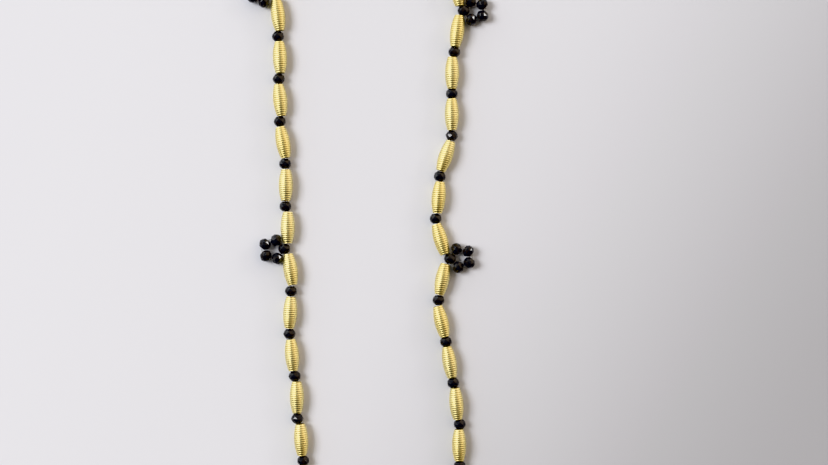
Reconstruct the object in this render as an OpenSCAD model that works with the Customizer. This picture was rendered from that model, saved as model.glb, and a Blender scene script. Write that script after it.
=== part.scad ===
// Bead necklace: barrels wound from gold wire, with faceted black crystals between them and
// five-crystal flowers on the outside of the loop. It lies flat, closed by a plain clasp.
// Millimetres, +Z up, +Y towards the clasp. The origin is under the middle of its outline.

/* [Gold beads] */
// Length of a gold bead
gold_l = 10; // [9:0.5:11]
// Diameter of a gold bead at its middle
gold_d = 4.5; // [4.2:0.1:5]
// Diameter of a gold bead at its open ends
gold_end_d = 2.9; // [2.8:0.1:3.2]
// Wall of a gold bead
gold_wall = 0.45; // [0.4:0.05:0.5]

/* [Black crystals] */
// Diameter of a crystal round its middle
crystal_d = 4; // [3.8:0.1:4.2]
// Diameter of a crystal halfway from its middle to a flat face
crystal_shoulder_d = 3.5; // [3.3:0.1:3.6]
// Length of a crystal along its hole
crystal_l = 3.1; // [3:0.1:3.4]
// Diameter of the flat face round a crystal's hole
crystal_face_d = 2.1; // [1.8:0.1:2.3]
// Corners of each rim of a crystal
crystal_sides = 8; // [6:1:10]

/* [Thread and clasp] */
// Diameter of the nylon thread
thread_d = 0.35; // [0.3:0.05:0.4]
// Length of the clasp
clasp_l = 14; // [12:1:20]
// Diameter of the clasp
clasp_d = 4.4; // [4:0.1:4.5]

/* [Stringing] */
// Slack between two neighbours on the left strand, which lies a little stretched out
left_slack = 0.16; // [0.1:0.01:0.2]
// Slack between two neighbours on the right strand and round the top and base
slack = 0.04; // [0.03:0.01:0.1]
// How far a flower's strand crystal stands out from the line of the gold beads
flower_out = 1.1; // [1.05:0.05:1.2]
// How far the thread bows out to that crystal
thread_out = 0.65; // [0.5:0.05:0.7]
// Turn from a flower's strand crystal to the next crystal of its ring
flower_turn = 78; // [75:1:80]

/* [Lie] */
// Width of the base, about the distance between the two lowest flowers
base_gap = 51.7; // [50:0.1:53]
// Slope of the line between the two lowest flowers
base_tilt = -1.5; // [-3:0.5:0]
// Slope of the top of the loop, where the clasp is
clasp_tilt = -5.5; // [-7:0.5:-3]
// Inward lean of the strands just above the top flowers
flower_lean = 12; // [10:1:14]

/* [Hidden] */
$fn = 48;

crystal_face_r = crystal_face_d / 2;
crystal_shoulder_r = crystal_shoulder_d / 2;
crystal_r = crystal_d / 2;
thread_r = thread_d / 2;
knot_r = 0.3;
// Distance from a bend at which two stretches of thread end inside their crystal or knot.
inside = 0.22;
gold_r = gold_d / 2;
gold_end_r = gold_end_d / 2;

// The beads that rest on the floor set the heights of their axes.
gold_z = gold_r;
crystal_z = crystal_r;
clasp_z = clasp_d / 2;
thread_z = (gold_z + crystal_z) / 2;

// Gold beads from one flower, or from the clasp, to the next.
section = 6;

// Visible stretches, from a flower down to the next one, a row for each gold bead:
// lean of the thread and lean of the bead, in degrees from straight down, + to the right,
// and how far the bead sits inwards of the thread, which is thinner than its bore.
THREAD = 0;
BEAD = 1;
INWARD = 2;
SLACK = 3;
left_upper = [
    [3, 6.5, 0.4],
    [1, 2, 0.5],
    [1.5, 5.5, 0.3],
    [7, 10, 0.2],
    [0.5, -0.5, 0.2],
    [3, -0.5, 0.4]
];
left_lower = [
    [4.5, 8, 0.4],
    [-2, -3, 0],
    [7, 4.5, 0],
    [3.5, 1, 0.3],
    [8, 3, 0.3],
    [-4, -4, 0.2]
];
right_upper = [
    [-8, -8, 0],
    [-3.5, -0.5, 0.3],
    [0, 0.5, 0],
    [-16.5, -19, 0],
    [-5.5, -5, -0.3],
    [15, 16, 0.2]
];
right_lower = [
    [-11, -11, 0.1],
    [10, 13, 0.3],
    [10, 9.5, 0],
    [9, 5, 0],
    [0, 0.5, 0.2],
    [4, 4, 0.2]
];

// Swing of each flower about its strand crystal, in the order of the thread.
flower_swing = [-2, 0, 0, 0, 3, 3];

// Root of a function that changes sign between low and high.
function root(f, low, high, steps = 40) =
    let(mid = (low + high) / 2)
    steps == 0 ? mid
    : f(low) * f(mid) <= 0 ? root(f, low, mid, steps - 1)
    : root(f, mid, high, steps - 1);

// Directions are degrees anticlockwise from +X, and the thread is followed anticlockwise:
// from the clasp down the left side, round the base and up the right side.
function way(angle) = [cos(angle), sin(angle)];
function going_down(rows) =
    [for (row = rows) [row[THREAD] - 90, row[BEAD] - 90, row[INWARD], left_slack]];
function going_up(rows) =
    [for (i = [len(rows) - 1:-1:0])
        [rows[i][THREAD] + 90, rows[i][BEAD] + 90, rows[i][INWARD], slack]];
function straight(angles) = [for (angle = angles) [angle, angle, 0, slack]];

// Distance from a bend of the thread to the end of the gold bead beside it. At a crystal it
// clears the crystal's flat face, and at the clasp the clasp's end face.
function crystal_reach(turn, out) =
    crystal_l / 2 * cos(turn) + crystal_face_r * abs(sin(turn)) - out * sin(turn);
function clasp_reach(turn) = gold_end_r * tan(turn);

// Base: equal edges turn from the left side to the right side, and their chord is base_gap.
function base_edge(turn) = gold_l + 2 * (slack + crystal_reach(turn / 2, 0));
function base_chord(turn) = base_edge(turn) * sin(section / 2 * turn) / sin(turn / 2);
base_turn = root(function(turn) base_chord(turn) - base_gap, 25, 35);
base = straight([for (i = [0:section - 1])
    base_tilt + (i - (section - 1) / 2) * base_turn]);

// Top: leans of one side above its flower, seen from the flower. The first follows the
// flower, the next three run straight, and the last two turn towards the clasp.
function top_leans(lean) =
    let(turn = (90 - lean) / 3)
    [flower_lean, lean, lean, lean, lean + turn, lean + 2 * turn];
function top_left(lean) =
    let(leans = top_leans(lean))
    straight([for (i = [section - 1:-1:0]) clasp_tilt - 90 - leans[i]]);
function top_right(lean) = straight([for (angle = top_leans(lean)) clasp_tilt + 90 + angle]);

// Rows of [thread direction, bead direction, inward set, slack] for every gold bead.
function rows(lean) = concat(top_left(lean), going_down(left_upper), going_down(left_lower),
    base, going_up(right_lower), going_up(right_upper), top_right(lean));

function is_flower(i, count) = i > 0 && i < count && i % section == 0;

// Direction of each crystal: between the beads on its two sides.
function crystal_ways(rows) =
    let(count = len(rows))
    [for (i = [0:count])
        let(before = i == 0 ? clasp_tilt - 180 : rows[i - 1][BEAD])
        let(after = i == count ? clasp_tilt + 180 : rows[i][BEAD])
        (before + after) / 2 + (is_flower(i, count) ? flower_swing[i / section - 1] : 0)];

// Length of thread from bend i to the middle of the gold bead on row j.
function half_edge(rows, ways, i, j) =
    let(count = len(rows))
    let(turn = i == j ? rows[j][BEAD] - ways[i] : ways[i] - rows[j][BEAD])
    let(reach = i == 0 || i == count ? clasp_reach(turn)
        : crystal_reach(turn, is_flower(i, count) ? flower_out : 0))
    (gold_l / 2 + reach + rows[j][SLACK]) / cos(rows[j][BEAD] - rows[j][THREAD]);

// Bends of the thread, one at every crystal and one at each end of the clasp.
function bends(rows, ways, i = 0, at = [0, 0]) =
    i == len(rows) ? [at]
    : let(edge = half_edge(rows, ways, i, i) + half_edge(rows, ways, i + 1, i))
    concat([at], bends(rows, ways, i + 1, at + edge * way(rows[i][THREAD])));

// The strands lean so far that the clasp just fills what is left between their ends.
function clasp_room(lean) =
    let(rows = rows(lean), ways = crystal_ways(rows), points = bends(rows, ways))
    norm(points[len(rows)] - points[0]) - 2 * (slack + clasp_reach(rows[0][BEAD] - ways[0]));
top_lean = root(function(lean) clasp_room(lean) - clasp_l, -10, 15);

beads = rows(top_lean);
count = len(beads);
axes = crystal_ways(beads);
loose = bends(beads, axes);

// Flower: turns between its neighbouring crystals, which close the ring.
function ring_half(turn) = crystal_l / 2 + slack / 2 + crystal_face_r * tan(turn / 2);
function ring_miss(turn) =
    ring_half(flower_turn)
    + (ring_half(flower_turn) + ring_half(turn)) * cos(flower_turn)
    + (ring_half(turn) + ring_half(360 - 2 * flower_turn - 2 * turn)) * cos(flower_turn + turn);
side_turn = root(function(turn) ring_miss(turn), 50, 72);
far_turn = 360 - 2 * flower_turn - 2 * side_turn;
ring_turns = [flower_turn, side_turn, far_turn, side_turn];
// Rows of [middle, direction] for the crystals, the first one at the origin along +X.
function ring(k = 0, at = [0, 0], angle = 0) =
    k == len(ring_turns) ? [[at, angle]]
    : let(turn = ring_turns[k], next = angle - turn)
    concat([[at, angle]], ring(k + 1, at + ring_half(turn) * (way(angle) + way(next)), next));
petals = ring();
flower_reach = flower_out + crystal_r - min([for (petal = petals) petal[0].y]);

// The origin goes under the middle of the outline: all bends, and each flower's far side.
far_sides = [for (i = [0:count]) if (is_flower(i, count))
    loose[i] + flower_reach * way(axes[i] - 90)];
outline = concat(loose, far_sides);
low = [min([for (p = outline) p.x]), min([for (p = outline) p.y])];
high = [max([for (p = outline) p.x]), max([for (p = outline) p.y])];
knots = [for (p = loose) p - (low + high) / 2];
clasp_span = knots[count] - knots[0];
clasp_angle = atan2(clasp_span.y, clasp_span.x);

function bead_middle(j) =
    knots[j] + half_edge(beads, axes, j, j) * way(beads[j][THREAD])
    + beads[j][INWARD] * way(beads[j][BEAD] + 90);
function crystal_middle(i) =
    knots[i] + (is_flower(i, count) ? flower_out * way(axes[i] - 90) : [0, 0]);
function thread_bend(i) =
    knots[i] + (is_flower(i, count) ? thread_out * way(axes[i] - 90) : [0, 0]);

function two_digits(n) = str(n < 10 ? "0" : "", n);
gold_names = [for (i = [1:count]) str("gold_bead_", two_digits(i))];
sections = count / section;
strand_names = [for (i = [1:sections]) str("crystal_strand_", i)];
flower_names = [for (i = [1:sections - 1]) str("flower_", i)];

// Turns a shape made along +Z to lie along a direction in the plane.
module along(at, z, angle) translate([at.x, at.y, z]) rotate([0, 90, angle]) children();

// Radius of a gold bead at a distance from its middle: an arc from end to end.
bulge = gold_r - gold_end_r;
bulge_r = (pow(gold_l / 2, 2) + pow(bulge, 2)) / (2 * bulge);
function gold_radius(z) = gold_r - bulge_r + sqrt(pow(bulge_r, 2) - pow(z, 2));

module gold_bead(j) {
    steps = 12;
    outer = [for (i = [0:steps]) let(z = gold_l * (i / steps - 0.5)) [gold_radius(z), z]];
    inner = [for (i = [steps:-1:0]) outer[i] - [gold_wall, 0]];
    color([0.82, 0.7, 0.35])
        along(bead_middle(j), gold_z, beads[j][BEAD])
        rotate_extrude() polygon(concat(outer, inner));
}

// Crystal along +Z: rims from one flat face to the other, each turned half a step from the
// last, with triangular facets between them.
module crystal(spin) {
    step = 360 / crystal_sides;
    rims = [crystal_face_r, crystal_shoulder_r, crystal_r, crystal_shoulder_r, crystal_face_r];
    last = len(rims) - 1;
    points = [for (n = [0:last], k = [0:crystal_sides - 1])
        [each rims[n] * way((k + n / 2) * step), crystal_l * (0.5 - n / last)]];
    function corner(n, k) = n * crystal_sides + k % crystal_sides;
    faces = concat(
        [[for (k = [crystal_sides - 1:-1:0]) corner(0, k)]],
        [[for (k = [0:crystal_sides - 1]) corner(last, k)]],
        [for (n = [0:last - 1], k = [0:crystal_sides - 1]) each [
            [corner(n, k), corner(n, k + 1), corner(n + 1, k)],
            [corner(n, k + 1), corner(n + 1, k + 1), corner(n + 1, k)]
        ]]);
    rotate([0, 0, spin]) polyhedron(points, faces);
}

// Thread between two points of the plane, less a trim at each end.
module thread(from, to, from_trim, to_trim) {
    span = to - from;
    angle = atan2(span.y, span.x);
    along(from + from_trim * way(angle), thread_z, angle)
        cylinder(h = norm(span) - from_trim - to_trim, r = thread_r);
}

// Each crystal is turned on the thread by its own amount.
function spin(n) = n * 137.5;

module crystal_strand(s) {
    first = s * section;
    last = first + section;
    // The thread stops short of a flower's crystal, and its stretches end inside the others.
    function trim(i) = is_flower(i, count) ? crystal_l / 2 + 3 * left_slack : inside;
    color([0.1, 0.1, 0.1]) {
        for (i = [first + 1:last - 1])
            along(crystal_middle(i), crystal_z, axes[i]) crystal(spin(i));
        for (i = [first:last - 1])
            thread(thread_bend(i), thread_bend(i + 1), trim(i), trim(i + 1));
        if (first == 0) clasp_knot(knots[0], clasp_angle);
        if (last == count) clasp_knot(knots[count], clasp_angle + 180);
    }
}

// Knot where the thread bends into the clasp, with its end in the clasp's bore.
module clasp_knot(at, angle) {
    into_clasp = 1.5;
    translate([at.x, at.y, thread_z]) sphere(r = knot_r);
    thread(at, at + into_clasp * way(angle), inside, 0);
}

module flower(f) {
    i = (f + 1) * section;
    at = crystal_middle(i);
    color([0.1, 0.1, 0.1])
        translate([at.x, at.y, 0]) rotate([0, 0, axes[i]])
        for (k = [0:len(petals) - 1]) {
            petal = petals[k];
            next = petals[(k + 1) % len(petals)];
            along(petal[0], crystal_z, petal[1]) crystal(spin(count + f * len(petals) + k));
            thread(petal[0], next[0], inside, inside);
        }
}

// Barrel with a blind bore in each end for the knotted thread, and a groove round its middle.
module clasp() {
    left_end = knots[0] + (norm(clasp_span) - clasp_l) / 2 * way(clasp_angle);
    r = clasp_d / 2;
    end_r = gold_end_r;
    taper = 2.5;
    groove = 0.2;
    groove_half = 0.3;
    bore_r = 0.6;
    bore_l = 3;
    steps = 6;
    // Quarter of an ellipse from the end face to the barrel.
    shoulder = [for (k = [0:steps]) let(turn = 90 * k / steps)
        [end_r + (r - end_r) * sin(turn), taper * (1 - cos(turn))]];
    mid = clasp_l / 2;
    half = concat([[bore_r, bore_l], [bore_r, 0]], shoulder,
        [[r, mid - groove_half], [r - groove, mid]]);
    other_half = [for (k = [len(half) - 2:-1:0]) [half[k].x, clasp_l - half[k].y]];
    color([0.8, 0.7, 0.4])
        along(left_end, clasp_z, clasp_angle)
        rotate_extrude()
        polygon(concat([[0, bore_l]], half, other_half, [[0, clasp_l - bore_l]]));
}

for (j = [0:count - 1]) gold_bead(j);
for (s = [0:sections - 1]) crystal_strand(s);
for (f = [0:sections - 2]) flower(f);
clasp();
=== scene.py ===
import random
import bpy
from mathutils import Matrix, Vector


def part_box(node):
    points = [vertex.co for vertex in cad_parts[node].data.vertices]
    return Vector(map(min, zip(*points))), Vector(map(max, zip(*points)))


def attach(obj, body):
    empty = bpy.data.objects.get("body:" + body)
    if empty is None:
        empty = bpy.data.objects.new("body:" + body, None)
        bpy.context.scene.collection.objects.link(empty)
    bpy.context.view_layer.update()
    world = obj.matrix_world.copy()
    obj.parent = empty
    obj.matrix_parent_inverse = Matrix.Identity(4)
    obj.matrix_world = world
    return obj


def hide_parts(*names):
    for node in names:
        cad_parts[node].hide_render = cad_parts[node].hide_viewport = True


bl_info = {
    "name": "Bead Necklace",
    "version": (1, 0, 0),
    "blender": (4, 5, 0),
    "location": "3D View > Sidebar > Necklace",
    "description": "Makes the wound gold beads, cut black crystals, flowers, thread and clasp of a necklace",
    "category": "Object",
}

from collections import namedtuple
from math import atan2, ceil, cos, degrees, pi, radians, sin, sqrt, tan, tau

import bpy
from bpy.props import FloatProperty, FloatVectorProperty, IntProperty, PointerProperty
from mathutils import Matrix, Vector

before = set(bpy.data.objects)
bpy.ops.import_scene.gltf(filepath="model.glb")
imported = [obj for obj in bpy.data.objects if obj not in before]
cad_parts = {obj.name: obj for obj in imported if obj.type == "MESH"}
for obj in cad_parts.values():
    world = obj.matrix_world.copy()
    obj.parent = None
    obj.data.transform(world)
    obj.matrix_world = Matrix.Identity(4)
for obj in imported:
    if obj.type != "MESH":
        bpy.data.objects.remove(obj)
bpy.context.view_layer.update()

MM = 0.001

# Sizes that the frame is built to, in millimetres.
GOLD_LENGTH = 10
GOLD_RADIUS = 2.25
GOLD_END_RADIUS = 1.45
CRYSTAL_LENGTH = 3.1
CRYSTAL_RADIUS = 2
CRYSTAL_SHOULDER_RADIUS = 1.75
CRYSTAL_FACE_RADIUS = 1.05
THREAD_RADIUS = 0.175
THREAD_Z = (GOLD_RADIUS + CRYSTAL_RADIUS) / 2
CLASP_LENGTH = 14
CLASP_RADIUS = 2.2
BORE_RADIUS = 0.6
BORE_DEPTH = 3

# Small sizes, in millimetres: the gap between turns of wire, how far the thread runs into the
# clasp, how far a bead may lie from the frame's, and how near two points are one.
TURN_GAP = 0.003
THREAD_IN_CLASP = 1.5
PLACE_TOLERANCE = 0.05
FINE = 0.0001

# Sides of the cut and the round pieces.
CRYSTAL_SIDES = 8
WIRE_SIDES = 12
CLASP_SIDES = 64

# Stringing: gold beads from one flower to the next, and the slack between neighbours, on the
# visible left side and elsewhere.
SECTION = 6
LEFT_SLACK = 0.16
SLACK = 0.04

# Flowers: how far the first crystal and the thread through it stand out from the line of the
# gold beads, the turn to its neighbours, and each flower's swing about its place.
FLOWER_OUT = 1.1
THREAD_OUT = 0.65
FLOWER_TURN = 78
FLOWER_SWING = (-2, 0, 0, 0, 3, 3)

# Lie of the loop, in millimetres and degrees: its base, its clasp, and the strands between the
# clasp and the visible stretches, which bend to the clasp over their last beads.
BASE_GAP = 51.7
BASE_TILT = -1.5
CLASP_TILT = -5.5
FLOWER_LEAN = 12
CLASP_BENDS = 3

# Visible stretches, from a flower down to the next one, a row for each gold bead: lean of the
# thread and of the bead from straight down, and how far the bead sits inwards of the thread.
LEFT_UPPER = ((3, 6.5, 0.4), (1, 2, 0.5), (1.5, 5.5, 0.3), (7, 10, 0.2), (0.5, -0.5, 0.2), (3, -0.5, 0.4))
LEFT_LOWER = ((4.5, 8, 0.4), (-2, -3, 0), (7, 4.5, 0), (3.5, 1, 0.3), (8, 3, 0.3), (-4, -4, 0.2))
RIGHT_UPPER = ((-8, -8, 0), (-3.5, -0.5, 0.3), (0, 0.5, 0), (-16.5, -19, 0), (-5.5, -5, -0.3), (15, 16, 0.2))
RIGHT_LOWER = ((-11, -11, 0.1), (10, 13, 0.3), (10, 9.5, 0), (9, 5, 0), (0, 0.5, 0.2), (4, 4, 0.2))

# Angles, in degrees, between which the unknown turns of the base, of a flower's ring and of the
# strands to the clasp lie, and how often the stretch between them is halved.
BASE_TURNS = (25, 35)
FLOWER_SIDE_TURNS = (50, 72)
STRAND_LEANS = (-10, 15)
HALVINGS = 40

Row = namedtuple("Row", "thread bead inward slack")


def way(angle):
    """Unit vector at an angle."""
    return Vector((cos(radians(angle)), sin(radians(angle))))


def root(function, low, high):
    """The place between low and high where a function changes sign."""
    for _ in range(HALVINGS):
        mid = (low + high) / 2
        if function(low) * function(mid) <= 0:
            high = mid
        else:
            low = mid
    return (low + high) / 2


def straight(angles):
    """Rows of beads that lie in line with their thread."""
    return [Row(angle, angle, 0, SLACK) for angle in angles]


def going_down(table):
    """Rows of a visible stretch that the thread runs down."""
    return [Row(thread - 90, bead - 90, inward, LEFT_SLACK) for thread, bead, inward in table]


def going_up(table):
    """Rows of a visible stretch that the thread runs up."""
    return [Row(thread + 90, bead + 90, inward, SLACK) for thread, bead, inward in reversed(table)]


def crystal_reach(turn, out):
    """Distance along a bead's line from a bend to the end of the crystal at the bend. The bead is
    turned from the crystal, and the crystal stands out from the bend."""
    turn = radians(turn)
    return CRYSTAL_LENGTH / 2 * cos(turn) + CRYSTAL_FACE_RADIUS * abs(sin(turn)) - out * sin(turn)


def clasp_reach(turn):
    """Thread that keeps a bead's end, turned from the clasp, clear of the clasp's face."""
    return GOLD_END_RADIUS * tan(radians(turn))


def base_rows():
    """Six equal edges that turn from the left side of the loop to its right side."""

    def chord(turn):
        edge = GOLD_LENGTH + 2 * (SLACK + crystal_reach(turn / 2, 0))
        return edge * sin(radians(SECTION / 2 * turn)) / sin(radians(turn / 2))

    turn = root(lambda angle: chord(angle) - BASE_GAP, *BASE_TURNS)
    return straight([BASE_TILT + (i - (SECTION - 1) / 2) * turn for i in range(SECTION)])


def top_leans(lean):
    """Leans of the beads from a flower to the clasp, the last of them bending to the clasp."""
    turn = (90 - lean) / CLASP_BENDS
    bending = [lean + n * turn for n in range(CLASP_BENDS)]
    return [FLOWER_LEAN] + [lean] * (SECTION - 1 - CLASP_BENDS) + bending


def all_rows(lean):
    """A row for each gold bead, from the clasp down the left side and up the right side."""
    top_left = straight([CLASP_TILT - 90 - angle for angle in reversed(top_leans(lean))])
    top_right = straight([CLASP_TILT + 90 + angle for angle in top_leans(lean)])
    left = going_down(LEFT_UPPER) + going_down(LEFT_LOWER)
    right = going_up(RIGHT_LOWER) + going_up(RIGHT_UPPER)
    return top_left + left + base_rows() + right + top_right


class Route:
    """The thread's way round the loop, with the places of all that is strung on it."""

    def __init__(self, lean):
        self.rows = all_rows(lean)
        self.count = len(self.rows)
        self.axes = [self.crystal_way(i) for i in range(self.count + 1)]
        at = Vector((0, 0))
        self.knots = [at]
        for j, row in enumerate(self.rows):
            edge = self.half_edge(j, j) + self.half_edge(j + 1, j)
            at = at + edge * way(row.thread)
            self.knots.append(at)
        self.span = self.knots[-1] - self.knots[0]
        end_turn = self.rows[0].bead - self.axes[0]
        self.clasp_room = self.span.length - 2 * (SLACK + clasp_reach(end_turn))

    def is_flower(self, i):
        """Whether a flower hangs at bend i."""
        return 0 < i < self.count and i % SECTION == 0

    def crystal_way(self, i):
        """Direction of the crystal or clasp at bend i."""
        before = CLASP_TILT - 180 if i == 0 else self.rows[i - 1].bead
        after = CLASP_TILT + 180 if i == self.count else self.rows[i].bead
        swing = FLOWER_SWING[i // SECTION - 1] if self.is_flower(i) else 0
        return (before + after) / 2 + swing

    def half_edge(self, i, j):
        """Length of thread from bend i to the middle of gold bead j."""
        row = self.rows[j]
        turn = row.bead - self.axes[i] if i == j else self.axes[i] - row.bead
        if i in (0, self.count):
            reach = clasp_reach(turn)
        else:
            reach = crystal_reach(turn, FLOWER_OUT if self.is_flower(i) else 0)
        return (GOLD_LENGTH / 2 + reach + row.slack) / cos(radians(row.bead - row.thread))

    def centre(self, origin):
        """Moves the whole route so that this point is the origin."""
        self.knots = [knot - origin for knot in self.knots]

    def bead_middle(self, j):
        row = self.rows[j]
        along = self.half_edge(j, j) * way(row.thread)
        return self.knots[j] + along + row.inward * way(row.bead + 90)

    def outwards(self, i, distance):
        """Bend i, moved to the outside of the loop where it is a flower's."""
        if not self.is_flower(i):
            return self.knots[i]
        return self.knots[i] + distance * way(self.axes[i] - 90)

    def crystal_middle(self, i):
        return self.outwards(i, FLOWER_OUT)

    def thread_bend(self, i):
        return self.outwards(i, THREAD_OUT)


def ring_half(turn):
    """Half an edge of a flower's ring, from a crystal's middle to the bend before the next."""
    return CRYSTAL_LENGTH / 2 + SLACK / 2 + CRYSTAL_FACE_RADIUS * tan(radians(turn / 2))


def ring_turns():
    """Turns between a flower's neighbouring crystals that close its ring."""

    def far(side):
        return 360 - 2 * FLOWER_TURN - 2 * side

    def miss(side):
        first = ring_half(FLOWER_TURN)
        second = (first + ring_half(side)) * cos(radians(FLOWER_TURN))
        third = (ring_half(side) + ring_half(far(side))) * cos(radians(FLOWER_TURN + side))
        return first + second + third

    side = root(miss, *FLOWER_SIDE_TURNS)
    return [FLOWER_TURN, side, far(side), side]


def ring():
    """Middle and direction of a flower's crystals, the first at the origin along +X."""
    at = Vector((0, 0))
    angle = 0
    petals = [(at, angle)]
    for turn in ring_turns():
        at = at + ring_half(turn) * (way(angle) + way(angle - turn))
        angle -= turn
        petals.append((at, angle))
    return petals


def find_route():
    """The route whose strands lean so that the clasp just fills the loop, as in the frame."""
    route = Route(root(lambda lean: Route(lean).clasp_room - CLASP_LENGTH, *STRAND_LEANS))
    flower_reach = FLOWER_OUT + CRYSTAL_RADIUS - min(at.y for at, _ in RING)
    far_sides = [
        route.knots[i] + flower_reach * way(route.axes[i] - 90)
        for i in range(route.count)
        if route.is_flower(i)
    ]
    outline = route.knots + far_sides
    xs = [point.x for point in outline]
    ys = [point.y for point in outline]
    route.centre(Vector((min(xs) + max(xs), min(ys) + max(ys))) / 2)
    return route


RING = ring()
ROUTE = find_route()
GOLD_NODES = [f"gold_bead_{j + 1:02d}" for j in range(ROUTE.count)]

# Bends of the route that a flower hangs on, and those along each strand of crystals, from one
# flower or end of the clasp to the next.
FLOWERS = [i for i in range(ROUTE.count) if ROUTE.is_flower(i)]
STRANDS = [range(first, first + SECTION + 1) for first in range(0, ROUTE.count, SECTION)]


def check_route():
    """Stops the script if a bead of the route isn't where the frame has it."""
    for j, node in enumerate(GOLD_NODES):
        low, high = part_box(node)
        miss = ((low + high) / 2).xy / MM - ROUTE.bead_middle(j)
        if miss.length > PLACE_TOLERANCE:
            raise ValueError(f"{node} is {miss.length:.2f} mm from its place on the route")


def rotated(angle, axis):
    """Matrix of a turn by so many degrees."""
    return Matrix.Rotation(radians(angle), 4, axis)


def lying(at, z, angle, spin=0):
    """Matrix that lays a piece made along +Z on the plane, turned about its own length."""
    place = Matrix.Translation((at.x * MM, at.y * MM, z * MM))
    return place @ rotated(angle, "Z") @ rotated(90, "Y") @ rotated(spin, "Z")


def petal_middle(i, at):
    """Place of a point of the flower at bend i, from its place in RING."""
    offset = at.x * way(ROUTE.axes[i]) + at.y * way(ROUTE.axes[i] + 90)
    return ROUTE.crystal_middle(i) + offset


def petal_number(flower, petal):
    """Number of a flower's crystal, after those of the strands."""
    return ROUTE.count + (flower - 1) * len(RING) + petal


# Turn on the thread from one gold bead to the next, which never repeats round the loop.
GOLDEN_ANGLE = 137.5

# Turns of the crystals on the thread, in degrees. Most turn an edge to the lamps, by a middle
# value and a spread round it, and those in LIT_TURNS turn a facet to a lamp.
UNLIT_TURN = 21
UNLIT_SPREAD = 7
LIT_TURNS = {
    16: 39,
    33: 1,
    petal_number(2, 1): 10.5,
    petal_number(2, 3): 14,
    petal_number(5, 2): 35,
    petal_number(6, 3): 31,
    petal_number(6, 4): 17,
}


def crystal_spin(n):
    """Turn of crystal number n on the thread."""
    return LIT_TURNS.get(n, UNLIT_TURN + UNLIT_SPREAD * sin(n))


# Properties that a user would change.
class WoundGoldLook(bpy.types.PropertyGroup):
    wire_d: FloatProperty(
        name="Wire", description="Thickness of the wound wire", default=0.69 * MM, precision=5, unit="LENGTH"
    )
    flatness: FloatProperty(name="Flatness", description="Height of the wire over its width", default=0.32)
    steps: IntProperty(name="Steps", description="Straight steps in one turn of wire", default=32)
    color: FloatVectorProperty(
        name="Gold", description="Colour of the wire's crown", subtype="COLOR", default=(0.885, 0.8, 0.4)
    )
    # Colour between the turns of wire: tarnish and painted shade where the turns meet.
    tarnish_and_shade_color: FloatVectorProperty(
        name="Groove", description="Colour between the turns", subtype="COLOR", default=(0.68, 0.55, 0.235)
    )
    roughness: FloatProperty(name="Roughness", description="Roughness of the plating", default=0.34)


class CrystalLook(bpy.types.PropertyGroup):
    hole_d: FloatProperty(
        name="Hole", description="Width of the drilled hole", default=0.84 * MM, precision=5, unit="LENGTH"
    )
    edge: FloatProperty(
        name="Edge", description="Width of the worn edges between facets", default=0.04 * MM, precision=5,
        unit="LENGTH",
    )
    color: FloatVectorProperty(
        name="Glass", description="Colour of the glass", subtype="COLOR", default=(0.006, 0.006, 0.009)
    )
    # The cool and warm facet colours are painted reflections of the room, in the glass's colour.
    cool_reflection_color: FloatVectorProperty(
        name="Cool facets", description="Colour of the bluish facets", subtype="COLOR",
        default=(0.014, 0.015, 0.02),
    )
    warm_reflection_color: FloatVectorProperty(
        name="Warm facets", description="Colour of the brownish facets", subtype="COLOR",
        default=(0.02, 0.016, 0.015),
    )
    roughness: FloatProperty(name="Roughness", description="Roughness of the cleanest glass", default=0.03)
    ior: FloatProperty(name="IOR", description="Index of refraction of the glass", default=1.45)


class ThreadLook(bpy.types.PropertyGroup):
    color: FloatVectorProperty(
        name="Nylon", description="Colour of the thread", subtype="COLOR", default=(0.82, 0.82, 0.8)
    )
    clearness: FloatProperty(name="Clearness", description="Share of light that goes through", default=0.7)
    roughness: FloatProperty(name="Roughness", description="Roughness of the clearest thread", default=0.12)
    ior: FloatProperty(name="IOR", description="Index of refraction of the nylon", default=1.53)
    roundness: IntProperty(name="Roundness", description="Bevel resolution of the thread", default=3)


class ClaspLook(bpy.types.PropertyGroup):
    color: FloatVectorProperty(
        name="Plate", description="Colour of the plated clasp", subtype="COLOR", default=(0.9, 0.74, 0.36)
    )
    groove: FloatProperty(
        name="Groove", description="Depth of the groove round the middle", default=0.2 * MM, precision=5,
        unit="LENGTH",
    )
    edge: FloatProperty(
        name="Edge", description="Width of the worn rims", default=0.08 * MM, precision=5, unit="LENGTH"
    )
    roughness: FloatProperty(name="Roughness", description="Roughness of the brightest plate", default=0.14)


class StageLook(bpy.types.PropertyGroup):
    floor_color: FloatVectorProperty(
        name="Floor", description="Colour of the floor", subtype="COLOR", default=(0.715, 0.724, 0.783)
    )
    # The floor's dark side is painted shade: the key light's falloff put into the floor's colour.
    painted_shade_color: FloatVectorProperty(
        name="Floor's dark side", description="Colour of the floor away from the key light", subtype="COLOR",
        default=(0.44, 0.442, 0.474),
    )
    key_power: FloatProperty(name="Key", description="Power of the key light in watts", default=21.5)
    glint_power: FloatProperty(name="Glints", description="Power of the small lamp in watts", default=0.7)
    room: FloatProperty(name="Room", description="Brightness of the room all round", default=1.04)
    behind_key: FloatProperty(
        name="Behind the key", description="Brightness of the room behind the key light, against the rest",
        default=0.4,
    )
    card: FloatProperty(name="Card", description="Darkness of the card overhead", default=0.99)
    left_color: FloatVectorProperty(
        name="Left light", description="Colour of the room on the left", subtype="COLOR",
        default=(0.95, 0.98, 1),
    )
    right_color: FloatVectorProperty(
        name="Right light", description="Colour of the room on the right", subtype="COLOR",
        default=(1, 0.84, 0.66),
    )
    backdrop_color: FloatVectorProperty(
        name="Backdrop", description="Colour seen past the floor's far edge", subtype="COLOR",
        default=(0.66, 0.66, 0.68),
    )


def look(name):
    """One of the property groups, by its name on the scene."""
    return getattr(bpy.context.scene, name)


# Shader maths as expressions.
Ramp = namedtuple("Ramp", "gain low high")


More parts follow.
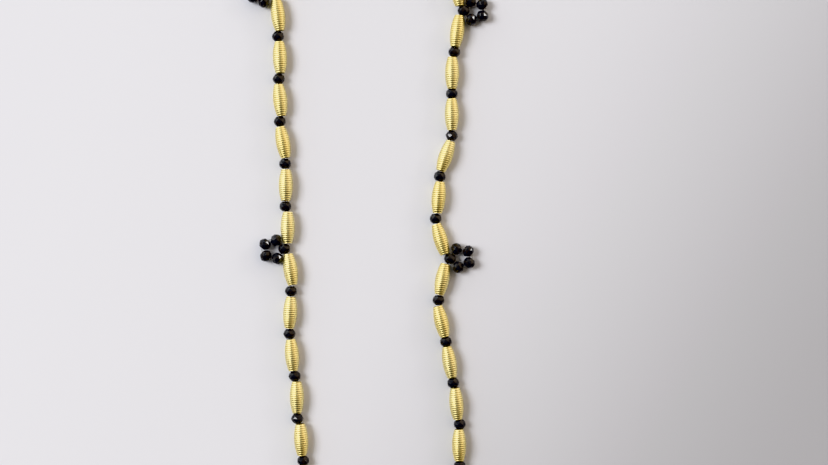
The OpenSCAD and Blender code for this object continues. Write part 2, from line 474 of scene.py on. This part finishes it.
class Value:
    """A socket that can be used in sums, which add Math nodes to its tree."""

    def __init__(self, graph, socket):
        self.graph = graph
        self.socket = socket

    def math(self, operation, *others):
        """A Math node on this value and others, in that order."""
        return self.graph.node("ShaderNodeMath", {"operation": operation}, dict(enumerate((self, *others))))

    def __add__(self, other):
        return self.math("ADD", other)

    def __sub__(self, other):
        return self.math("SUBTRACT", other)

    def __mul__(self, other):
        return self.math("MULTIPLY", other)

    def __rsub__(self, other):
        return self.graph.node("ShaderNodeMath", {"operation": "SUBTRACT"}, {0: other, 1: self})

    def __neg__(self):
        return self.math("MULTIPLY", -1)

    __radd__ = __add__
    __rmul__ = __mul__

    def rise(self, low, high):
        """0 below low, 1 above high and smooth between them."""
        settings = {"interpolation_type": "SMOOTHSTEP"}
        return self.graph.node("ShaderNodeMapRange", settings, {0: self, 1: low, 2: high})

    def band(self, middle, half_width, softness):
        """1 within half_width of middle, fading to 0 over softness."""
        away = (self - middle).math("ABSOLUTE")
        return 1 - away.rise(half_width, half_width + softness)

    def ramp(self, ramp):
        """0 below the ramp's low, its gain above its high and smooth between them."""
        return ramp.gain * self.rise(ramp.low, ramp.high)


class Graph:
    """A node tree that is filled by short calls."""

    def __init__(self, tree):
        self.tree = tree

    def node(self, kind, settings=None, sockets=None, output=0):
        """An output of a new node, whose settings are made before its sockets are filled."""
        node = self.tree.nodes.new(kind)
        for name, value in (settings or {}).items():
            setattr(node, name, value)
        for name, value in (sockets or {}).items():
            self.put(node.inputs[name], value)
        return Value(self, node.outputs[output])

    def put(self, socket, value):
        """Links a value to a socket, or sets the socket to a number or colour."""
        if isinstance(value, Value):
            self.tree.links.new(value.socket, socket)
        elif hasattr(value, "__len__") and socket.type == "RGBA" and len(value) == 3:
            socket.default_value = (*value, 1)
        else:
            socket.default_value = value

    def mix(self, share, first, second):
        """Mix of two colours."""
        return self.node("ShaderNodeMix", {"data_type": "RGBA"}, {0: share, 6: first, 7: second}, 2)

    def axes(self, vector):
        """The three parts of a vector."""
        return [self.node("ShaderNodeSeparateXYZ", None, {0: vector}, axis) for axis in range(3)]

    def place(self):
        """Object coordinates."""
        return self.node("ShaderNodeTexCoord", output="Object")

    def noise(self, scale, detail=2.0):
        sockets = {"Vector": self.place(), "Scale": scale, "Detail": detail}
        return self.node("ShaderNodeTexNoise", None, sockets)

    def attribute(self, name):
        return self.node("ShaderNodeAttribute", {"attribute_name": name}, output="Fac")

    def bump(self, height, strength, distance):
        sockets = {"Height": height, "Strength": strength, "Distance": distance}
        return self.node("ShaderNodeBump", None, sockets)


def new_material(name, sockets):
    """A material with one Principled shader, whose sockets hold what a function gives."""
    material = bpy.data.materials.new(name)
    material.use_nodes = True
    graph = Graph(material.node_tree)
    shader = material.node_tree.nodes["Principled BSDF"]
    for socket, value in sockets(graph).items():
        graph.put(shader.inputs[socket], value)
    return material


def tinted(color, tint):
    return tuple(c * t for c, t in zip(color, tint))


# Scales of the noise in each finish, in waves to the metre.
GOLD_PATCHES = 60
GOLD_WEAR = 2500
GLASS_SPECKS = 900
NYLON_HAZE = 700
PLATE_CLOUDS = 150
PLATE_MARKS = 4000

# Height of the fine marks in gold.
MARK_HEIGHT = 0.02 * MM

# Tints of the warmer patches of gold, of the clearest nylon and of the duller clouds on the plate.
PATCH_TINT = (1, 0.95, 0.8)
CLEAR_TINT = (0.8, 0.8, 0.8)
CLOUD_TINT = (0.86, 0.86, 0.86)


def wound_gold_sockets(graph):
    """Pale gold plate: bright on the crown of the wire, brown between the turns, where the brown is tarnish
    and painted shade.
    """
    gold = look("necklace_gold")
    crown = graph.attribute("crown")
    patch = graph.noise(GOLD_PATCHES).rise(0.35, 0.65)
    crest = graph.mix(patch, gold.color, tinted(gold.color, PATCH_TINT))
    worn = graph.noise(GOLD_WEAR, 3)
    groove = 1 - crown.rise(0.2, 0.8)
    return {
        # Where the crown value is low, between the turns, the colour is tarnish and painted shade.
        "Base Color": graph.mix(crown.rise(0.3, 0.9), gold.tarnish_and_shade_color, crest),
        "Roughness": gold.roughness + 0.06 * worn + 0.1 * groove,
        "Metallic": 1.0,
        "Normal": graph.bump(worn, 0.08, MARK_HEIGHT),
    }


def black_glass_sockets(graph):
    """Opaque black cut glass whose facets differ a little in tint, which is painted reflection of the room.
    """
    crystal = look("necklace_crystal")
    facet = graph.attribute("facet")
    # Painted reflections: some facets take the cool colour, some the warm one.
    cool = facet.rise(0.55, 0.75)
    warm = facet.band(0.2, 0.05, 0.05)
    glass = graph.mix(cool, crystal.color, crystal.cool_reflection_color)
    speck = graph.noise(GLASS_SPECKS).rise(0.4, 0.8)
    return {
        "Base Color": graph.mix(warm, glass, crystal.warm_reflection_color),
        "Roughness": crystal.roughness + 0.06 * speck,
        "IOR": crystal.ior,
    }


def nylon_sockets(graph):
    """Clear nylon with a faint haze along its length."""
    thread = look("necklace_thread")
    haze = graph.noise(NYLON_HAZE)
    return {
        "Base Color": graph.mix(haze, tinted(thread.color, CLEAR_TINT), thread.color),
        "Roughness": thread.roughness + 0.2 * haze,
        "Transmission Weight": thread.clearness,
        "IOR": thread.ior,
    }


def clasp_sockets(graph):
    """Polished plate with fine turning marks round the barrel."""
    clasp = look("necklace_clasp")
    clear = graph.noise(PLATE_CLOUDS).rise(0.3, 0.7)
    marks = graph.noise(PLATE_MARKS, 4)
    return {
        "Base Color": graph.mix(clear, tinted(clasp.color, CLOUD_TINT), clasp.color),
        "Roughness": clasp.roughness + 0.14 * marks,
        "Metallic": 1.0,
        "Normal": graph.bump(marks, 0.05, MARK_HEIGHT),
    }


# Modelling helpers.
def activate(*things):
    """Selects these objects alone, with the first one active."""
    for thing in bpy.context.selected_objects:
        thing.select_set(False)
    for thing in things:
        thing.select_set(True)
    bpy.context.view_layer.objects.active = things[0]


def apply_modifiers(thing):
    """Applies all modifiers of an object, in their order."""
    activate(thing)
    for modifier in list(thing.modifiers):
        bpy.ops.object.modifier_apply(modifier=modifier.name)


def select_faces(test):
    """In edit mode, selects the faces that pass a test, and nothing else."""
    bpy.ops.mesh.select_mode(type="FACE")
    bpy.ops.mesh.select_all(action="DESELECT")
    bpy.ops.object.mode_set(mode="OBJECT")
    for face in bpy.context.object.data.polygons:
        face.select = test(face)
    bpy.ops.object.mode_set(mode="EDIT")


def placed_copy(master, matrix):
    """A copy of a finished piece with a mesh of its own, moved to its place."""
    copy = master.copy()
    copy.data = master.data.copy()
    copy.data.transform(matrix)
    bpy.context.collection.objects.link(copy)
    return copy


def joined(pieces, name):
    """One object of several, under a plain name."""
    activate(*pieces)
    if len(pieces) > 1:
        bpy.ops.object.join()
    return named(pieces[0], name)


def named(piece, name):
    """Gives a piece and its mesh a name."""
    piece.name = name
    piece.data.name = name
    return piece


def finish_piece(piece, material, node):
    """Gives a piece its material, hangs it on the root body and hides the node of the frame that it stands
    for.
    """
    piece.data.materials.clear()
    piece.data.materials.append(material)
    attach(piece, "root")
    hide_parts(node)


def turned(name, outline, sides):
    """A piece turned about Z between two flat faces. Its outline gives radius and height, in
    millimetres, at each edge from the one face to the other."""
    (radius, z), *edges = outline
    place = (0, 0, z * MM)
    bpy.ops.mesh.primitive_circle_add(vertices=sides, radius=radius * MM, fill_type="NGON", location=place)
    piece = named(bpy.context.object, name)
    bpy.ops.object.transform_apply()
    bpy.ops.object.mode_set(mode="EDIT")
    bpy.ops.mesh.select_all(action="SELECT")
    for next_radius, next_z in edges:
        bpy.ops.mesh.extrude_region_move(TRANSFORM_OT_translate={"value": (0, 0, (next_z - z) * MM)})
        k = next_radius / radius
        bpy.ops.transform.resize(value=(k, k, 1), center_override=(0, 0, next_z * MM))
        radius, z = next_radius, next_z
    bpy.ops.mesh.select_all(action="SELECT")
    bpy.ops.mesh.normals_make_consistent()
    bpy.ops.object.mode_set(mode="OBJECT")
    return piece


# Wound gold beads.
def gold_radius(z):
    """Outer radius of a bead, in millimetres, at a distance from its middle."""
    bulge = GOLD_RADIUS - GOLD_END_RADIUS
    arc = ((GOLD_LENGTH / 2) ** 2 + bulge**2) / (2 * bulge)
    return GOLD_RADIUS - arc + sqrt(arc**2 - z**2)


def wound_bead():
    """Fine wire wound in close turns to a barrel along +Z, with its ends ground flat."""
    gold = look("necklace_gold")
    turns = ceil(GOLD_LENGTH * MM / gold.wire_d) + 1
    radius = (gold.wire_d - TURN_GAP * MM) / 2
    half_height = gold.flatness * radius
    start = (GOLD_RADIUS * MM - half_height, 0, -turns / 2 * gold.wire_d)
    bpy.ops.mesh.primitive_circle_add(
        vertices=WIRE_SIDES, radius=radius, location=start, rotation=(pi / 2, 0, 0)
    )
    bead = named(bpy.context.object, "wound_bead")
    bead.scale.x = gold.flatness
    bpy.ops.object.transform_apply()
    winding = bead.modifiers.new("winding", "SCREW")
    winding.screw_offset = gold.wire_d
    winding.iterations = turns
    winding.steps = gold.steps
    winding.render_steps = gold.steps
    apply_modifiers(bead)
    for vertex in bead.data.vertices:
        drawn_in = GOLD_RADIUS - gold_radius(vertex.co.z / MM)
        vertex.co.xy *= 1 - drawn_in * MM / vertex.co.xy.length
    bpy.ops.object.mode_set(mode="EDIT")
    for end in (-1, 1):
        bpy.ops.mesh.select_all(action="SELECT")
        at = (0, 0, end * GOLD_LENGTH / 2 * MM)
        bpy.ops.mesh.bisect(
            plane_co=at, plane_no=(0, 0, end), clear_outer=True, use_fill=True, threshold=FINE * MM
        )
    bpy.ops.mesh.select_all(action="SELECT")
    bpy.ops.mesh.normals_make_consistent()
    bpy.ops.object.mode_set(mode="OBJECT")
    bpy.ops.object.shade_smooth_by_angle(angle=radians(50))
    crown = bead.data.attributes.new("crown", "FLOAT", "POINT")
    for vertex, value in zip(bead.data.vertices, crown.data):
        depth = gold_radius(vertex.co.z / MM) * MM - vertex.co.xy.length
        value.value = 1 - depth / half_height
    return bead


class NECKLACE_OT_wound_beads(bpy.types.Operator):
    """Make the barrels of wound gold wire"""

    bl_idname = "necklace.wound_beads"
    bl_label = "Wound gold beads"

    def execute(self, context):
        master = wound_bead()
        material = new_material("wound_gold", wound_gold_sockets)
        for j, node in enumerate(GOLD_NODES):
            matrix = lying(ROUTE.bead_middle(j), GOLD_RADIUS, ROUTE.rows[j].bead, j * GOLDEN_ANGLE)
            bead = named(placed_copy(master, matrix), f"wound_bead_{j + 1:02d}")
            finish_piece(bead, material, node)
        bpy.data.objects.remove(master)
        return {"FINISHED"}


# Cut crystals.
def cut_crystal():
    """One crystal along +Z: rims turned half a step each, facets between them and a drilled hole."""
    crystal = look("necklace_crystal")
    half_step = pi / CRYSTAL_SIDES
    half_radii = (CRYSTAL_FACE_RADIUS, CRYSTAL_SHOULDER_RADIUS)
    radii = (*half_radii, CRYSTAL_RADIUS, *reversed(half_radii))
    rims = []
    for n, radius in enumerate(radii):
        z = CRYSTAL_LENGTH * (0.5 - n / (len(radii) - 1))
        bpy.ops.mesh.primitive_circle_add(
            vertices=CRYSTAL_SIDES, radius=radius * MM, location=(0, 0, z * MM),
            rotation=(0, 0, n * half_step),
        )
        rims.append(bpy.context.object)
    piece = joined(rims, "cut_crystal")
    bpy.ops.object.transform_apply()
    bpy.ops.object.mode_set(mode="EDIT")
    bpy.ops.mesh.select_all(action="SELECT")
    bpy.ops.mesh.convex_hull(join_triangles=False)
    bpy.ops.mesh.dissolve_limited(angle_limit=radians(1))
    select_faces(lambda face: abs(face.normal.z) > 0.99)
    flat_to_hole = CRYSTAL_FACE_RADIUS * cos(half_step) * MM - crystal.hole_d / 2
    bpy.ops.mesh.inset(thickness=flat_to_hole)
    bpy.ops.mesh.bridge_edge_loops()
    bpy.ops.mesh.select_all(action="SELECT")
    bpy.ops.mesh.normals_make_consistent()
    bpy.ops.object.mode_set(mode="OBJECT")
    edges = piece.modifiers.new("edges", "BEVEL")
    edges.width = crystal.edge
    edges.segments = 2
    edges.angle_limit = radians(8)
    apply_modifiers(piece)
    bpy.ops.object.shade_smooth_by_angle(angle=radians(6))
    return piece


def paint_facet_reflections(piece, seed):
    """Gives each facet of a crystal its own number between 0 and 1, which picks its painted reflection tint.
    """
    draw = random.Random(seed)
    facet = piece.data.attributes.new("facet", "FLOAT", "FACE")
    for value in facet.data:
        value.value = draw.random()
    return piece


def placed_crystal(master, at, angle, n):
    """Crystal number n, in its place and with its own tints."""
    return paint_facet_reflections(placed_copy(master, lying(at, CRYSTAL_RADIUS, angle, crystal_spin(n))), n)


class NECKLACE_OT_crystals(bpy.types.Operator):
    """Make the black crystals between the gold beads"""

    bl_idname = "necklace.crystals"
    bl_label = "Black crystals"

    def execute(self, context):
        master = cut_crystal()
        material = new_material("black_glass", black_glass_sockets)
        for s, bends in enumerate(STRANDS, 1):
            crystals = [
                placed_crystal(master, ROUTE.crystal_middle(i), ROUTE.axes[i], i) for i in bends[1:-1]
            ]
            piece = joined(crystals, f"black_crystals_{s}")
            finish_piece(piece, material, f"crystal_strand_{s}")
        bpy.data.objects.remove(master)
        return {"FINISHED"}


class NECKLACE_OT_flowers(bpy.types.Operator):
    """Make the flowers of five black crystals"""

    bl_idname = "necklace.flowers"
    bl_label = "Crystal flowers"

    def execute(self, context):
        master = cut_crystal()
        material = bpy.data.materials["black_glass"]
        for f, i in enumerate(FLOWERS, 1):
            crystals = []
            for petal, (at, angle) in enumerate(RING):
                place = petal_middle(i, at)
                n = petal_number(f, petal)
                crystals.append(placed_crystal(master, place, ROUTE.axes[i] + angle, n))
            piece = joined(crystals, f"crystal_flower_{f}")
            finish_piece(piece, material, f"flower_{f}")
        bpy.data.objects.remove(master)
        return {"FINISHED"}


# Thread.
def tube(name, points, closed=False):
    """Round thread through points, as a mesh."""
    curve = bpy.data.curves.new(name, "CURVE")
    curve.dimensions = "3D"
    curve.bevel_depth = THREAD_RADIUS * MM
    curve.bevel_resolution = look("necklace_thread").roundness
    curve.use_fill_caps = not closed
    spline = curve.splines.new("POLY")
    spline.points.add(len(points) - 1)
    for point, at in zip(spline.points, points):
        point.co = (*at, 1)
    spline.use_cyclic_u = closed
    piece = bpy.data.objects.new(name, curve)
    bpy.context.collection.objects.link(piece)
    activate(piece)
    bpy.ops.object.convert(target="MESH")
    bpy.ops.object.mode_set(mode="EDIT")
    bpy.ops.mesh.select_all(action="SELECT")
    bpy.ops.mesh.remove_doubles(threshold=FINE * MM)
    bpy.ops.mesh.normals_make_consistent()
    bpy.ops.object.mode_set(mode="OBJECT")
    bpy.ops.object.shade_smooth_by_angle(angle=radians(50))
    return piece


def on_thread(at, z):
    """A point of the thread, in metres."""
    return at.x * MM, at.y * MM, z * MM


def flower_loop(i):
    """Thread of one flower: through each crystal's hole, and straight over to the next."""
    points = []
    for at, angle in RING:
        for end in (-1, 1):
            mouth = at + end * CRYSTAL_LENGTH / 2 * way(angle)
            points.append(on_thread(petal_middle(i, mouth), CRYSTAL_RADIUS))
    return points


def overhand_knot(at):
    """Points of a small tight knot, a trefoil, about a place on the thread."""
    loop = 0.11
    height = 0.16
    steps = 36
    points = []
    for n in range(steps):
        t = tau * n / steps
        x = loop * (sin(t) + 2 * sin(2 * t))
        y = loop * (cos(t) - 2 * cos(2 * t))
        points.append(on_thread(at + Vector((x, y)), THREAD_Z - height * sin(3 * t)))
    return points


class NECKLACE_OT_thread(bpy.types.Operator):
    """Make the nylon thread of the strands and flowers, with its knots at the clasp"""

    bl_idname = "necklace.thread"
    bl_label = "Thread"

    def execute(self, context):
        material = new_material("clear_nylon", nylon_sockets)
        into_clasp = THREAD_IN_CLASP * ROUTE.span.normalized()
        for s, bends in enumerate(STRANDS, 1):
            places = [ROUTE.thread_bend(i) for i in bends]
            knots = []
            if bends[0] == 0:
                knots.append(places[0])
                places.insert(0, places[0] + into_clasp)
            if bends[-1] == ROUTE.count:
                knots.append(places[-1])
                places.append(places[-1] - into_clasp)
            name = f"nylon_thread_{s}"
            parts = [tube(name, [on_thread(at, THREAD_Z) for at in places])]
            parts += [tube("overhand_knot", overhand_knot(at), closed=True) for at in knots]
            finish_piece(joined(parts, name), material, f"crystal_strand_{s}")
        for f, i in enumerate(FLOWERS, 1):
            piece = tube(f"flower_thread_{f}", flower_loop(i), closed=True)
            finish_piece(piece, material, f"flower_{f}")
        return {"FINISHED"}


# Clasp.
def clasp_outline():
    """The clasp's outline, from the bottom of one bore, past the groove, to that of the other."""
    taper = 2.5
    groove_half = 0.3
    steps = 10
    half = CLASP_LENGTH / 2
    groove = look("necklace_clasp").groove / MM
    points = [(BORE_RADIUS, half - BORE_DEPTH), (BORE_RADIUS, half)]
    for k in range(steps + 1):
        turn = pi / 2 * k / steps
        r = GOLD_END_RADIUS + (CLASP_RADIUS - GOLD_END_RADIUS) * sin(turn)
        points.append((r, half - taper * (1 - cos(turn))))
    points.append((CLASP_RADIUS, groove_half))
    low_half = [(r, -z) for r, z in points]
    return low_half + [(CLASP_RADIUS - groove, 0)] + points[::-1]


class NECKLACE_OT_clasp(bpy.types.Operator):
    """Make the plain barrel clasp"""

    bl_idname = "necklace.clasp"
    bl_label = "Clasp"

    def execute(self, context):
        piece = turned("barrel_clasp", clasp_outline(), CLASP_SIDES)
        rims = piece.modifiers.new("rims", "BEVEL")
        rims.width = look("necklace_clasp").edge
        rims.segments = 3
        rims.angle_limit = radians(40)
        apply_modifiers(piece)
        bpy.ops.object.shade_smooth_by_angle(angle=radians(35))
        middle = (ROUTE.knots[0] + ROUTE.knots[-1]) / 2
        angle = degrees(atan2(ROUTE.span.y, ROUTE.span.x))
        piece.data.transform(lying(middle, CLASP_RADIUS, angle))
        finish_piece(piece, new_material("clasp_plate", clasp_sockets), "clasp")
        return {"FINISHED"}


# Camera, in millimetres: the place that it looks down on, its height over the beads' tops, the
# width that it sees there and its sensor's.
CAMERA_OVER = Vector((14.23, -15.34, 0))
CAMERA_HEIGHT = 450
VIEW_WIDTH = 262.9
SENSOR = 36

# Floor, in metres: its side, and the stretch over which painted shade for the key light's falloff makes it
# darker to the right, which a place further down the picture reaches sooner by the slant.
FLOOR_SIDE = 6
FLOOR_FALL = (0.01, 0.2)
FLOOR_SLANT = 0.6

# Lamps: turn from +X and angle from straight up, in degrees, and distance and side, in metres.
Lamp = namedtuple("Lamp", "azimuth from_zenith distance side")
KEY_LAMP = Lamp(166, 42.5, 1.6, 0.7)
GLINT_LAMP = Lamp(33, 69, 0.8, 0.11)

# Room by direction, in degrees to the right and up the picture from straight above. Two bands
# cross behind the key light, each with its middle, half width and soft edge, and the room turns
# from its left colour to its right one.
KEY_RIGHT = (-41, 12, 10)
KEY_UP = (10, 50, 20)
COLOR_TURN = (-30, 40)

# Card overhead, by the same directions: its half width and soft edge, what is added to its half
# width towards the near end, and to its darkness towards the far end.
CARD_HALF_WIDTH = 16
CARD_EDGE = 16
CARD_FLARE = Ramp(60, 8, 42)
CARD_FADE = Ramp(-0.7, -20, 35)

# What each wall adds to the room's brightness.
RIGHT_WALL = Ramp(0.35, 50, 85)
LEFT_WALL = Ramp(0.75, 60, 85)
FAR_WALL = Ramp(0.4, 25, 65)
NEAR_WALL = Ramp(-0.95, 24, 58)


def floor_sockets(graph):
    """Plain pale matt floor, which gets darker to the right and a little downwards by painted shade for the
    key light's falloff.
    """
    stage = look("necklace_stage")
    x, y, _ = graph.axes(graph.place())
    # Painted shade: the floor's colour darkens to the right for the key light's falloff.
    dark = (x - FLOOR_SLANT * y).rise(*FLOOR_FALL)
    return {"Base Color": graph.mix(dark, stage.floor_color, stage.painted_shade_color), "Roughness": 0.9}


def add_floor():
    bpy.ops.mesh.primitive_plane_add(size=FLOOR_SIDE)
    floor = named(bpy.context.object, "floor")
    floor.data.materials.append(new_material("floor", floor_sockets))


def add_lamp(name, lamp, power):
    """A square soft light that looks at the place under the camera."""
    bpy.ops.object.light_add(type="AREA")
    light = named(bpy.context.object, name)
    turn = rotated(lamp.azimuth, "Z") @ rotated(lamp.from_zenith, "Y")
    light.matrix_world = (
        Matrix.Translation(CAMERA_OVER * MM) @ turn @ Matrix.Translation((0, 0, lamp.distance))
    )
    light.data.size = lamp.side
    light.data.energy = power


def light_world(stage):
    """Soft room, cool on the left and warm on the right, with brighter walls at its sides and its
    far end, and a darker near end. It is dim behind the key light. A dark card overhead, wider at
    the near end, draws the line along each bead. The camera sees one plain colour past the floor."""
    world = bpy.data.worlds.new("studio")
    bpy.context.scene.world = world
    world.use_nodes = True
    graph = Graph(world.node_tree)
    x, y, z = graph.axes(graph.node("ShaderNodeTexCoord", output="Generated"))
    right = x.math("ARCTAN2", z) * degrees(1)
    up = y.math("ARCTAN2", z) * degrees(1)
    walls = (1 + right.ramp(RIGHT_WALL) + (-right).ramp(LEFT_WALL)) * (
        1 + up.ramp(FAR_WALL) + (-up).ramp(NEAR_WALL)
    )
    behind_key = right.band(*KEY_RIGHT) * up.band(*KEY_UP)
    half_width = CARD_HALF_WIDTH + (-up).ramp(CARD_FLARE)
    past_card = (right.math("ABSOLUTE") - half_width).rise(0, CARD_EDGE)
    card = (1 - past_card) * (1 + up.ramp(CARD_FADE))
    dim = (1 - (1 - stage.behind_key) * behind_key) * (1 - stage.card * card)
    color = graph.mix(right.rise(*COLOR_TURN), stage.left_color, stage.right_color)
    seen = graph.node("ShaderNodeLightPath", output="Is Camera Ray")
    background = world.node_tree.nodes["Background"]
    graph.put(background.inputs["Color"], graph.mix(seen, color, stage.backdrop_color))
    graph.put(background.inputs["Strength"], seen + stage.room * walls * dim * (1 - seen))


def add_camera():
    """A camera that looks straight down and sees VIEW_WIDTH at the height of the beads' tops."""
    place = CAMERA_OVER + Vector((0, 0, GOLD_RADIUS + CAMERA_HEIGHT))
    bpy.ops.object.camera_add(location=place * MM, rotation=(0, 0, 0))
    camera = named(bpy.context.object, "camera")
    camera.data.sensor_width = SENSOR
    camera.data.lens = SENSOR * CAMERA_HEIGHT / VIEW_WIDTH
    camera.data.clip_start = 0.01
    bpy.context.scene.camera = camera


class NECKLACE_OT_stage(bpy.types.Operator):
    """Make the floor, the soft light and the camera straight above"""

    bl_idname = "necklace.stage"
    bl_label = "Stage"

    def execute(self, context):
        stage = look("necklace_stage")
        add_floor()
        add_lamp("key_light", KEY_LAMP, stage.key_power)
        add_lamp("glint_light", GLINT_LAMP, stage.glint_power)
        light_world(stage)
        add_camera()
        context.scene.view_settings.view_transform = "Khronos PBR Neutral"
        return {"FINISHED"}


LOOKS = {
    "necklace_gold": WoundGoldLook,
    "necklace_crystal": CrystalLook,
    "necklace_thread": ThreadLook,
    "necklace_clasp": ClaspLook,
    "necklace_stage": StageLook,
}
STEPS = (
    NECKLACE_OT_wound_beads,
    NECKLACE_OT_crystals,
    NECKLACE_OT_flowers,
    NECKLACE_OT_thread,
    NECKLACE_OT_clasp,
    NECKLACE_OT_stage,
)


class NECKLACE_PT_panel(bpy.types.Panel):
    """Sizes and colours of the necklace, and a button for each step"""

    bl_idname = "NECKLACE_PT_panel"
    bl_label = "Bead Necklace"
    bl_space_type = "VIEW_3D"
    bl_region_type = "UI"
    bl_category = "Necklace"

    def draw(self, context):
        for name, group in LOOKS.items():
            box = self.layout.box()
            for prop in group.__annotations__:
                box.prop(look(name), prop)
        for step in STEPS:
            self.layout.operator(step.bl_idname)


CLASSES = (*LOOKS.values(), *STEPS, NECKLACE_PT_panel)


def register():
    for cls in CLASSES:
        bpy.utils.register_class(cls)
    for name, group in LOOKS.items():
        setattr(bpy.types.Scene, name, PointerProperty(type=group))


def unregister():
    for name in LOOKS:
        delattr(bpy.types.Scene, name)
    for cls in reversed(CLASSES):
        bpy.utils.unregister_class(cls)


def main():
    register()
    check_route()
    bpy.ops.necklace.wound_beads()
    bpy.ops.necklace.crystals()
    bpy.ops.necklace.flowers()
    bpy.ops.necklace.thread()
    bpy.ops.necklace.clasp()
    bpy.ops.necklace.stage()


if __name__ == "__main__":
    main()
